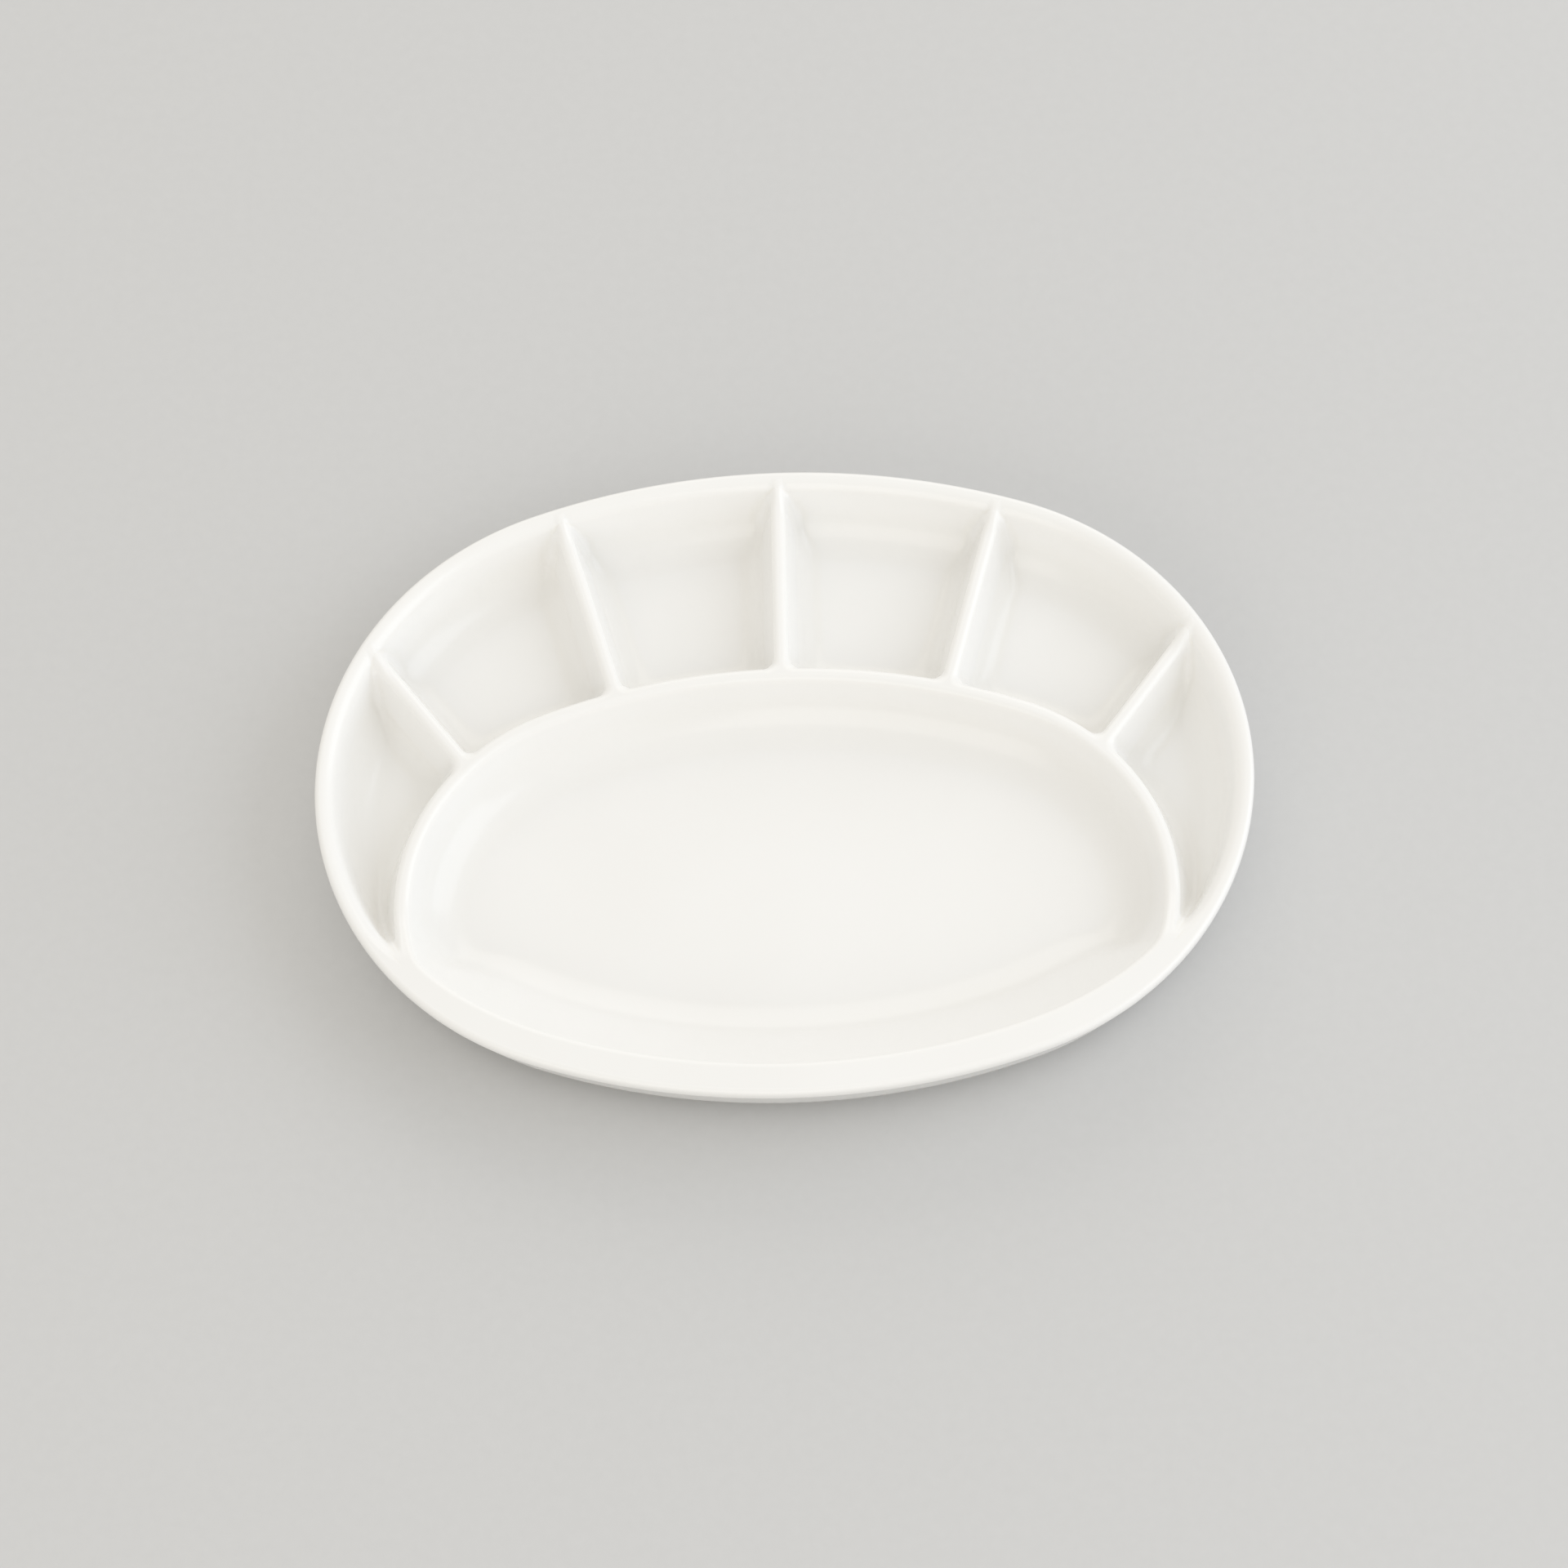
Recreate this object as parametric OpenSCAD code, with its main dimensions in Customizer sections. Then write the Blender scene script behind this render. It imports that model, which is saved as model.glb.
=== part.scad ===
// Oval serving dish in white glazed porcelain: one main well to the front and a crescent
// of six small compartments round its back, parted by one curved and five straight dividers.
// The dish stands on the XY plane with its front towards -Y and its length along X.

/* [Dish] */
// Length of the dish from tip to tip
dish_length = 280; // [240:1:320]
// Width of the dish from front to back
dish_width = 210; // [190:1:235]
// Height of the rim above the table
dish_height = 30; // [27:0.5:38]
// Angle from the long axis up to where an end arc meets a side arc, in degrees
join_a = 70.3; // [66:0.1:73]

/* [Base] */
// Height of the foot ring, which is also the gap below the base
foot_height = 4.5; // [3:0.25:6]
// Thickness of the base
base_thickness = 5.5; // [4:0.25:7]
// Radius of the turn from the base into the outer wall
base_turn = 4; // [2:0.25:6]
// Lean of the outer wall from upright, in degrees
outer_lean = 21; // [12:0.5:24]

/* [Foot ring] */
// Distance from the rim's outer edge in to the foot ring
foot_inset = 17; // [15:0.5:30]
// Width of the foot ring where it joins the base
foot_width = 6; // [4:0.25:9]
// Width of the foot ring's flat resting face
foot_face = 2.6; // [1.5:0.1:3.5]
// Height of the rounded edge beside the resting face
foot_edge = 0.7; // [0.3:0.1:1.2]

/* [Rim] */
// Width of the thin rim round the back and the sides
rim_width = 3.8; // [3.2:0.1:5]
// Radius of the rim's rounded edges
rim_round = 1.6; // [0.8:0.1:1.6]
// Height of the upright edge below the rounding
rim_lip = 1.4; // [0.8:0.1:2.5]
// Lean of the outer wall's inner face from upright, in degrees
back_lean = 17; // [12:0.5:22]
// Radius of the hollow curve from that face to the floor
back_cove = 8; // [5:0.25:10]

/* [Front rim] */
// Width of the flat strip along the front
strip_width = 8.5; // [7:0.25:11]
// Thickness of the flat strip
strip_thickness = 5; // [4:0.25:6]
// Radius of the edge between the strip and the well's slope
strip_round = 2; // [1:0.25:3]
// Lean of the well's front slope from upright, in degrees
front_lean = 48; // [40:0.5:54]
// Radius of the hollow curve from the slope to the well's floor
front_cove = 20; // [12:0.5:24]

/* [Curved divider] */
// Distance from the crest to the rim at the tips of the dish
tip_room = 26; // [24:0.5:30]
// Distance from the crest to the rim at the back
back_room = 69; // [60:0.5:76]
// Distance from the dish's middle line forward to the line where the crest is widest
waist_offset = 39; // [35:0.5:45]
// Angle from that line up to where the crest's end arc meets its middle arc, in degrees
bend_a = 68.8; // [66:0.1:71]
// Height of every divider's crest below the rim
crest_drop = 3; // [2.4:0.1:5]
// Width of a divider at its crest
crest_width = 3.4; // [2.8:0.1:4.4]
// Radius of the crest's rounded edges
crest_round = 1.4; // [0.6:0.1:1.4]
// Lean of the curved divider's face towards the well, in degrees
well_lean = 20; // [12:0.5:24]
// Radius of the hollow curve from that face to the well's floor
well_cove = 14; // [8:0.5:16]
// Lean of the curved divider's face towards the compartments, in degrees
room_lean = 15.5; // [12:0.5:20]
// Radius of the hollow curve from that face to the compartments' floors
room_cove = 8.5; // [5:0.25:10]
// Width of the pocket's end where the rim and the curved divider run together
pocket_end = 1.5; // [1:0.1:3]

/* [Straight dividers] */
// Lean of the faces towards the compartments, in degrees
divider_lean = 14; // [8:0.5:18]
// Radius of the hollow curve from those faces to the floor
divider_cove = 8; // [5:0.25:10]
// Where the dividers beside the middle one leave the curved divider, as a share of its half width
inner_root_share = 0.435; // [0.40:0.005:0.46]
// Where they reach the rim, as a share of half the length
inner_head_share = 0.482; // [0.45:0.002:0.50]
// Where the outermost dividers leave the curved divider, as a share of its half width
outer_root_share = 0.83; // [0.80:0.005:0.86]
// Where they reach the rim, as a share of half the length
outer_head_share = 0.9; // [0.87:0.005:0.92]

/* [Hidden] */

$fn = 180;
glaze = [0.93, 0.92, 0.90];
bare_clay = [0.86, 0.82, 0.75];
// Number of facets in a face's rounded edge and in its hollow curve
wall_steps = [2, 4];
arch_steps = [3, 5];
divider_steps = [2, 4];
// Length by which a cutting shape runs past what it cuts
overrun = 12;
// Height by which a straight divider's crest is under the curved one's, and its foot over the floor
seam = 0.02;
// Angle between the points of a floor's curved edge, and how much wider the points
// lie when the straight steps between them have to stay outside the curve
edge_angle = 2.5;
around = 1 / cos(edge_angle / 2);

// Levels
under_z = foot_height;
floor_z = foot_height + base_thickness;
rim_z = dish_height;
crest_z = dish_height - crest_drop;
lip_z = rim_z - rim_round - rim_lip;
strip_z = rim_z - strip_thickness;

// Radius of the end arcs of an oval, where they meet its side arcs at an angle from its long axis
function end_radius(half_long, half_short, angle) =
    let (k = 1 / cos(angle) - tan(angle)) (half_short - k * half_long) / (1 - k);

// Outline: an end arc on each side and a flatter arc at the front and the back
half_length = dish_length / 2;
half_width = dish_width / 2;
end_r = end_radius(half_length, half_width, join_a);
end_x = half_length - end_r;
side_r = end_r + end_x / cos(join_a);
side_y = half_width - side_r;

// Curved divider: a wide arc with a tighter arc at each end
arch_half = half_length - tip_room;
arch_top = half_width - back_room;
arch_y = -waist_offset;
bend_r = end_radius(arch_half, arch_top - arch_y, bend_a);
bend_x = arch_half - bend_r;
arch_r = bend_r + bend_x / cos(bend_a);
arc_y = arch_top - arch_r;

function reversed(list) = [for (i = [len(list) - 1 : -1 : 0]) list[i]];
function mirrored(list) = [for (p = list) [-p[0], p[1]]];

// A face that goes down from [x, z], leaning away from upright, and turns level at a height
function face_down(x, z, lean, level, radius, steps) =
    let (foot = x + (z - level) * tan(lean), out = radius * tan((90 - lean) / 2))
    [for (k = [0 : steps]) let (a = lean + (90 - lean) * k / steps)
        [foot + out - radius * cos(a), level + radius - radius * sin(a)]];

// A rounded edge from a level top that ends at [x, z] into a face with the given lean
function edge_over(x, z, radius, lean, steps) =
    [for (k = [0 : steps]) let (a = (90 - lean) * k / steps)
        [x + radius * sin(a), z - radius + radius * cos(a)]];

// A wall's face from its level top to the floor: rounded edge, leaning face, hollow curve
function wall_face(x, z, radius, lean, level, cove, steps) =
    let (edge = edge_over(x, z, radius, lean, steps[0]), last = edge[steps[0]])
    concat(edge, face_down(last[0], last[1], lean, level, cove, steps[1]));

// Outer edge of the rim, from the lip up to the level top, and the outer wall below it
rim_edge = concat([[0, lip_z]], [for (k = [0 : wall_steps[0]]) let (a = 90 * k / wall_steps[0])
    [rim_round - rim_round * cos(a), rim_z - rim_round + rim_round * sin(a)]]);
outer_wall = face_down(0, lip_z, outer_lean, under_z, base_turn, wall_steps[1]);
outer_at_strip = [(lip_z - strip_z) * tan(outer_lean), strip_z];

// Faces of the walls and dividers, as distance from the line that each one follows and height
back_face = wall_face(rim_width - rim_round, rim_z, rim_round, back_lean, floor_z, back_cove, wall_steps);
slope_face = wall_face(strip_width, rim_z, strip_round, front_lean, floor_z, front_cove, wall_steps);
crest_flat = crest_width / 2 - crest_round;
well_face = wall_face(crest_flat, crest_z, crest_round, well_lean, floor_z, well_cove, arch_steps);
room_face = wall_face(crest_flat, crest_z, crest_round, room_lean, floor_z, room_cove, arch_steps);
divider_face = wall_face(crest_flat, crest_z - seam, crest_round, divider_lean, floor_z + seam,
    divider_cove, divider_steps);

function toe(face) = face[len(face) - 1][0];
back_toe = toe(back_face);
slope_toe = toe(slope_face);
well_toe = toe(well_face);
room_toe = toe(room_face);
divider_toe = toe(divider_face);

// Sections, as distance inwards and height
back_section = concat(rim_edge, back_face, [[back_toe, under_z]], reversed(outer_wall));
strip_section = concat(rim_edge, [[strip_width, rim_z], [strip_width, strip_z], outer_at_strip]);
slope_section = concat(slope_face, [[slope_toe, under_z]], reversed(outer_wall),
    [outer_at_strip, [strip_width, strip_z]]);
corner_section = concat([[rim_width, rim_z]], slope_face, [[slope_toe, under_z], [rim_width, under_z]]);
arch_section = concat(reversed(mirrored(room_face)), well_face,
    [[well_toe, under_z], [-room_toe, under_z]]);
divider_section = concat(reversed(mirrored(divider_face)), divider_face,
    [[divider_toe, under_z], [-divider_toe, under_z]]);
foot_section = [
    [foot_inset, under_z],
    [foot_inset + (foot_width - foot_face) / 2 - foot_edge, foot_edge],
    [foot_inset + (foot_width - foot_face) / 2, 0],
    [foot_inset + (foot_width + foot_face) / 2, 0],
    [foot_inset + (foot_width + foot_face) / 2 + foot_edge, foot_edge],
    [foot_inset + foot_width, under_z]
];

// Where two circles cross, on the right of the line from the first centre to the second
function crossing(c1, r1, c2, r2) =
    let (d = norm(c2 - c1), along = (c2 - c1) / d, across = [-along[1], along[0]],
        a = (r1 * r1 - r2 * r2 + d * d) / (2 * d))
    c1 + a * along + sqrt(r1 * r1 - a * a) * across;

// The pocket beside the curved divider ends where that divider and the rim come together
tip = crossing([end_x, 0], end_r - rim_width - pocket_end, [bend_x, arch_y], bend_r + crest_width / 2);
tip_a = atan2(tip[1], tip[0] - end_x);

// Dividers from the middle one to the right: where each one starts and ends
function arch_at(x) = x < arch_r * cos(bend_a)
    ? arc_y + sqrt(arch_r * arch_r - x * x)
    : arch_y + sqrt(bend_r * bend_r - pow(x - bend_x, 2));
function rim_at(x) = x < side_r * cos(join_a)
    ? side_y + sqrt(side_r * side_r - x * x)
    : sqrt(end_r * end_r - pow(x - end_x, 2));
root_shares = [0, inner_root_share, outer_root_share];
head_shares = [0, inner_head_share, outer_head_share];
roots = [for (share = root_shares) let (x = share * arch_half) [x, arch_at(x)]];
heads = [for (share = head_shares) let (x = share * half_length) [x, rim_at(x)]];

// Points of an arc
function arc(c, r, from, to) =
    let (n = ceil((to - from) / edge_angle))
    [for (k = [0 : n]) let (a = from + (to - from) * k / n) c + r * [cos(a), sin(a)]];

// Outline of the dish, moved inwards
function oval(inset) = concat(
    arc([end_x, 0], end_r - inset, -join_a, join_a),
    arc([0, side_y], side_r - inset, join_a, 180 - join_a),
    arc([-end_x, 0], end_r - inset, 180 - join_a, 180 + join_a),
    arc([0, -side_y], side_r - inset, 180 + join_a, 360 - join_a)
);

// Everything in front of the curved divider's crest, moved inwards or outwards
function inside_arch(inset, wider = 1) = concat(
    arc([bend_x, arch_y], (bend_r - inset) * wider, -bend_a, bend_a),
    arc([0, arc_y], (arch_r - inset) * wider, bend_a, 180 - bend_a),
    arc([-bend_x, arch_y], (bend_r - inset) * wider, 180 - bend_a, 180 + bend_a)
);

// A section swept round an arc, with its distances measured inwards from the arc
module sweep(c, r, from, to, section) {
    translate([c[0], c[1], 0])
        rotate([0, 0, from])
            rotate_extrude(angle = to - from)
                polygon([for (p = section) [r - p[0], p[1]]]);
}

// The outline's three kinds of stretch: an end, the front and the back
module round_the_end(from, to, section) {
    sweep([end_x, 0], end_r, from, to, section);
}

module along_the_front(section) {
    sweep([0, -side_y], side_r, 180 + join_a, 360 - join_a, section);
}

module along_the_back(section) {
    sweep([0, side_y], side_r, join_a, 180 - join_a, section);
}

// All that a face encloses where it follows a whole circle, carried on up and down past the dish
module within(c, r, face) {
    translate([c[0], c[1], 0]) rotate_extrude() polygon(concat(
        [[0, rim_z + overrun], [r - face[0][0], rim_z + overrun]],
        [for (p = face) [r - p[0], p[1]]],
        [[r - toe(face), under_z - overrun], [0, under_z - overrun]]
    ));
}

// All that lies to the left of a line that leaves a point at an angle
module left_of(point, angle) {
    translate([point[0], point[1], -overrun]) rotate([0, 0, angle]) translate([-dish_length, 0, 0])
        cube([2 * dish_length, dish_length, dish_height + 2 * overrun]);
}

// The dish is alike on both sides, so the pieces on its left are those on its right, mirrored
module on_the_left() {
    mirror([1, 0, 0]) children();
}

module foot_ring_end() {
    color(bare_clay) round_the_end(-join_a, join_a, foot_section);
}

module foot_ring_front() {
    color(bare_clay) along_the_front(foot_section);
}

module foot_ring_back() {
    color(bare_clay) along_the_back(foot_section);
}

module front_rim_end() {
    color(glaze) round_the_end(-join_a, tip_a, strip_section);
}

module front_rim_middle() {
    color(glaze) along_the_front(strip_section);
}

module well_slope_end() {
    color(glaze) round_the_end(-join_a, tip_a, slope_section);
}

module well_slope_middle() {
    color(glaze) along_the_front(slope_section);
}

// The slope carried on past the tip, until the curved divider's own face to the well covers it
module well_corner() {
    color(glaze) intersection() {
        translate([end_x, 0, 0]) rotate_extrude() polygon([for (p = corner_section) [end_r - p[0], p[1]]]);
        translate([bend_x, arch_y, 0]) rotate_extrude() polygon(concat(
            [[0, crest_z]],
            [for (p = well_face) [bend_r - p[0], p[1]]],
            [[bend_r - well_toe, under_z], [0, under_z]]
        ));
        left_of([end_x, 0], tip_a);
    }
}

module well_floor() {
    color(glaze) translate([0, 0, under_z]) linear_extrude(base_thickness) intersection() {
        polygon(oval(slope_toe));
        polygon(inside_arch(well_toe));
    }
}

module back_wall_end() {
    color(glaze) round_the_end(tip_a, join_a, back_section);
}

module back_wall_middle() {
    color(glaze) along_the_back(back_section);
}

module curved_divider_middle() {
    color(glaze) sweep([0, arc_y], arch_r, bend_a, 180 - bend_a, arch_section);
}

// The curved divider's end arc, from its join with the middle one down to the tip of the dish
module curved_divider_end() {
    color(glaze) intersection() {
        translate([bend_x, arch_y, 0]) rotate_extrude() polygon([for (p = arch_section) [bend_r - p[0], p[1]]]);
        within([end_x, 0], end_r, back_face);
        left_of([end_x, 0], tip_a);
        left_of([bend_x, arch_y], bend_a + 180);
    }
}

// A straight divider, counted from the middle to the right. It ends in the wall's face and in
// the curved divider's face, each of them on whichever of its arcs the divider meets.
module divider(k) {
    run = heads[k] - roots[k];
    at_the_end = heads[k][0] > side_r * cos(join_a);
    at_the_bend = roots[k][0] > arch_r * cos(bend_a);
    color(glaze) difference() {
        intersection() {
            translate([roots[k][0], roots[k][1], 0])
                rotate([0, 0, atan2(run[1], run[0])])
                    rotate([90, 0, 90])
                        linear_extrude(norm(run)) polygon(divider_section);
            within(at_the_end ? [end_x, 0] : [0, side_y], at_the_end ? end_r : side_r, back_face);
        }
        within(at_the_bend ? [bend_x, arch_y] : [0, arc_y], at_the_bend ? bend_r : arch_r, mirrored(room_face));
    }
}

// Plan of a divider with its hollow curves, run on past both ends
module divider_plan(k) {
    run = heads[k] - roots[k];
    translate(roots[k]) rotate([0, 0, atan2(run[1], run[0])])
        translate([-2 * overrun, -divider_toe]) square([norm(run) + 3 * overrun, 2 * divider_toe]);
}

// A compartment's floor lies between a divider and the next one to the right, and past the
// last divider it runs on towards the front
module compartment_floor(k) {
    far_side = k == 2 ? [[half_length, half_width], [half_length, -half_width], [0, -half_width], [0, 0]]
        : [heads[k + 1], roots[k + 1]];
    color(glaze) translate([0, 0, under_z]) linear_extrude(base_thickness) difference() {
        intersection() {
            polygon(oval(back_toe));
            polygon(concat([roots[k], heads[k]], far_side));
        }
        polygon(inside_arch(-room_toe, around));
        for (i = [k : min(k + 1, 2)]) divider_plan(i);
    }
}

on_the_left() foot_ring_end();  // foot_ring_left
foot_ring_front();
foot_ring_end();  // foot_ring_right
foot_ring_back();
on_the_left() front_rim_end();  // front_rim_left
front_rim_middle();
front_rim_end();  // front_rim_right
on_the_left() well_slope_end();  // well_slope_left
well_slope_middle();
well_slope_end();  // well_slope_right
on_the_left() well_corner();  // well_corner_left
well_corner();  // well_corner_right
well_floor();
on_the_left() back_wall_end();  // back_wall_left
back_wall_middle();
back_wall_end();  // back_wall_right
on_the_left() curved_divider_end();  // curved_divider_left
curved_divider_middle();
curved_divider_end();  // curved_divider_right
on_the_left() divider(2);  // divider_1
on_the_left() divider(1);  // divider_2
divider(0);  // divider_3
divider(1);  // divider_4
divider(2);  // divider_5
on_the_left() compartment_floor(2);  // compartment_1_floor
on_the_left() compartment_floor(1);  // compartment_2_floor
on_the_left() compartment_floor(0);  // compartment_3_floor
compartment_floor(0);  // compartment_4_floor
compartment_floor(1);  // compartment_5_floor
compartment_floor(2);  // compartment_6_floor
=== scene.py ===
"""Divided oval serving dish in white glazed porcelain, standing on a pale table top."""
import math

import bpy
import numpy as np
from mathutils import Matrix, Vector


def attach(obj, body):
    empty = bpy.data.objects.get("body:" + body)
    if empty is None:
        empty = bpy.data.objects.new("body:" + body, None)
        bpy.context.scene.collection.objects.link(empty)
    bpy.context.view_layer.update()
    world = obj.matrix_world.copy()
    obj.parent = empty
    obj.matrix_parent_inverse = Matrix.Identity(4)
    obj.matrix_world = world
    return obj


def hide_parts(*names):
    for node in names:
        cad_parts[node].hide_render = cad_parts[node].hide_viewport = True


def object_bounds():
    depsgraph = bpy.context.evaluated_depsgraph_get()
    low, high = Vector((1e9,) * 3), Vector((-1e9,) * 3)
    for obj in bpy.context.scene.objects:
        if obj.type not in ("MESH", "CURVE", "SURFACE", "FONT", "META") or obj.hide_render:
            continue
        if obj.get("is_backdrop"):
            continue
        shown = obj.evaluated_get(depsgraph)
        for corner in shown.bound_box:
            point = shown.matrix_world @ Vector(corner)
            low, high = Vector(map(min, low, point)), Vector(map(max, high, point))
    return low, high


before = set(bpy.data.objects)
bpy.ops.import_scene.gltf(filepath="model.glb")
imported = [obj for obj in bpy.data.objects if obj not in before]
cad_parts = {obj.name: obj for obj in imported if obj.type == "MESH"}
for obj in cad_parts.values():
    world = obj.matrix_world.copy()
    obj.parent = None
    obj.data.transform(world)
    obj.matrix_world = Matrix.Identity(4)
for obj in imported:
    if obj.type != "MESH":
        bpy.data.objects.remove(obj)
cad_low, cad_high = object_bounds()


# ---- Rim line ----
# The dish is pressed in one piece from a sheet of porcelain clay over a plaster mould, then fired
# and glazed. Its rim is an oval of four arcs, which the potter's template gives: this is that line.
half_length = (cad_high.x - cad_low.x) / 2
half_width = (cad_high.y - cad_low.y) / 2
rim_join = math.radians(70.3)


class FourArcOval:
    """An oval of two end arcs and two side arcs that meet at one angle, on the middle line."""
    arc_points = 400

    def __init__(self, half_x, half_y, join, centre_y=0.0):
        k = 1 / math.cos(join) - math.tan(join)
        self.end_radius = (half_y - k * half_x) / (1 - k)
        self.end_x = half_x - self.end_radius
        self.side_radius = self.end_radius + self.end_x / math.cos(join)
        self.side_y = -self.end_x * math.tan(join)
        self.join = join
        self.centre_y = centre_y

    def inside(self, x, y):
        """Distance inwards from the oval."""
        x, y = np.abs(x), np.abs(y - self.centre_y)
        at_end = np.arctan2(y, x - self.end_x) < self.join
        return np.where(at_end, self.end_radius - np.hypot(x - self.end_x, y),
                        self.side_radius - np.hypot(x, y - self.side_y))

    def back_at(self, x):
        """Point on the back half at this x."""
        if x < self.side_radius * math.cos(self.join):
            y = self.side_y + math.sqrt(self.side_radius ** 2 - x ** 2)
        else:
            y = math.sqrt(self.end_radius ** 2 - (x - self.end_x) ** 2)
        return np.array([x, y + self.centre_y])

    def end_arc(self, start, stop):
        """Points along the right end arc between two angles."""
        t = np.linspace(start, stop, self.arc_points)
        return np.column_stack([self.end_x + self.end_radius * np.cos(t),
                                self.centre_y + self.end_radius * np.sin(t)])

    def side_arc(self, start, stop, side=1):
        """Points along the back side arc between two angles, or the front one where side is -1."""
        t = np.linspace(start, stop, self.arc_points)
        return np.column_stack([self.side_radius * np.cos(t),
                                self.centre_y + side * self.side_y + self.side_radius * np.sin(t)])


class Ring:
    """A closed line in plan, read by the run along it from the front middle, to the right first."""
    count = 4000

    def __init__(self, right_half, softness=0.0):
        left_half = right_half[::-1] * [-1, 1]
        loop = np.concatenate([right_half, left_half[1:]])
        run = np.concatenate([[0], np.cumsum(np.hypot(*np.diff(loop, axis=0).T))])
        even = np.arange(self.count) * run[-1] / self.count
        line = np.interp(even, run, loop[:, 0]) + 1j * np.interp(even, run, loop[:, 1])
        self.length = run[-1]
        self.run = np.arange(-self.count, 2 * self.count + 1) * run[-1] / self.count
        self.line = np.tile(self.softened(line, softness), 4)[:3 * self.count + 1]
        self.slope = np.gradient(self.line)

    def softened(self, line, softness):
        """A line laid round this one, rounded off over about this length."""
        turn = 2 * math.pi * np.fft.fftfreq(self.count) * self.count / self.length
        return np.fft.ifft(np.fft.fft(line) * np.exp(-(turn * softness) ** 2 / 2))

    def at(self, run):
        """Points at these runs."""
        return np.column_stack([np.interp(run, self.run, self.line.real),
                                np.interp(run, self.run, self.line.imag)])

    def outward(self, run):
        """Directions away from the dish's middle at these runs, square to the line."""
        t = np.column_stack([np.interp(run, self.run, self.slope.imag),
                             -np.interp(run, self.run, self.slope.real)])
        return t / np.linalg.norm(t, axis=1, keepdims=True)


rim_oval = FourArcOval(half_length, half_width, rim_join)
rim_ring = Ring(np.concatenate([
    rim_oval.side_arc(-math.pi / 2, -rim_oval.join, -1)[:-1],
    rim_oval.end_arc(-rim_oval.join, rim_oval.join)[:-1],
    rim_oval.side_arc(rim_oval.join, math.pi / 2)]))
half_rim = slice(Ring.count, Ring.count * 3 // 2 + 1)
rim_angle = np.unwrap(np.angle(rim_ring.line[half_rim]))
half_run = rim_ring.run[half_rim]


# ---- Line of the curved divider ----
# The curved divider bends round the back of the well and runs out to the rim at two tips. Past
# them its line is the inner edge of the flat strip along the front, so that one ring goes round.
tip_room = 0.026
back_room = 0.069
waist_from_front = 0.066
bend_join = math.radians(68.8)
tip_inset = 0.0070
strip_width = 0.0082
strip_taper = 0.04
crest_softness = 0.0045
before_tip = -1.2
longest_reach = 0.12
probes = 1500


def smooth(t):
    """Goes from 0 to 1 with an easy start and end."""
    t = np.clip(t, 0, 1)
    return t * t * (3 - 2 * t)


waist_y = waist_from_front - half_width
bend_oval = FourArcOval(half_length - tip_room, half_width - back_room - waist_y, bend_join,
                        waist_y)
bend = bend_oval.end_arc(before_tip, bend_join)
bend = bend[rim_oval.inside(*bend.T) > tip_inset]
tip_rim_run = np.interp(math.atan2(bend[0, 1], bend[0, 0]), rim_angle, half_run)
front_run = np.linspace(0, tip_rim_run, FourArcOval.arc_points)
front_inset = strip_width + (tip_inset - strip_width) * smooth(
    1 - (tip_rim_run - front_run) / strip_taper)
front = rim_ring.at(front_run) - rim_ring.outward(front_run) * front_inset[:, None]
tip_run = np.hypot(*np.diff(front, axis=0).T).sum()
crest_ring = Ring(np.concatenate([
    front[:-1], bend, bend_oval.side_arc(bend_join, math.pi / 2)[1:]]), softness=crest_softness)

# Halving finds where a line that leaves the crest at a right angle comes to the rim.
probe = np.linspace(0, crest_ring.length / 2, probes)
low, high = np.zeros(probes), np.full(probes, longest_reach)
for halving in range(40):
    half_way = (low + high) / 2
    spot = crest_ring.at(probe) + crest_ring.outward(probe) * half_way[:, None]
    still_in = rim_oval.inside(*spot.T) > 0
    low, high = np.where(still_in, half_way, low), np.where(still_in, high, half_way)
square_run = np.interp(np.unwrap(np.arctan2(spot[:, 1], spot[:, 0])), rim_angle, half_run)


# ---- Lines of the straight dividers ----
# Five straight dividers fan out from the back of the curved one to the rim and part the six rooms.
# They are walls of the same clay, as thick as the curved one: roots and heads lie at these shares.
root_shares = (0.83, 0.435, 0)
head_shares = (0.9, 0.482, 0)

roots = [bend_oval.back_at(share * (half_length - tip_room)) for share in root_shares]
heads = [rim_oval.back_at(share * half_length) for share in head_shares]
ways = [(head - root) / np.linalg.norm(head - root) for root, head in zip(roots, heads)]


# ---- Section of the rooms' walls ----
# Each wall has a rounded top, a leaning face and a wide cove down to the floor, so that the clay
# leaves the mould and a spoon reaches into the corners. Outside, the rim has the same soft edge.
rim_z = cad_high.z
crest_z = 0.027
floor_z = 0.010
crest_half_flat = 0.0002
crest_round = 0.0021
room_lean, room_cove = math.radians(16), 0.008
rim_outer_round = 0.0016
rim_flat = 0.0002
rim_inner_round = 0.0042
wall_lean, wall_cove = math.radians(17), 0.013
# A straight divider's top climbs this share of the way to the rim's height, near the rim.
climb_share, climb_end, climb_length, climb_width = 0.75, 0.0045, 0.009, 0.004
# Walls run together over these distances at their tops and, further down, in their coves.
crest_corner, cove_corner, corner_depth = 0.0035, 0.0070, 0.008
# The outer wall runs into the others over a wider band above this height.
low_join, high_join, join_z, join_rise = 0.0003, 0.0015, 0.018, 0.006
root_reach = 0.005
past_toe = 0.001
round_steps, cove_steps, face_steps = 26, 10, 5


def toe(top, edge, lean, cove):
    """Plan distance from the start of a wall's rounded top to the end of its cove."""
    return (edge * np.cos(lean) + (top - edge * (1 - np.sin(lean)) - floor_z) * np.tan(lean)
            + cove * np.tan((math.pi / 2 - lean) / 2))


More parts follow.
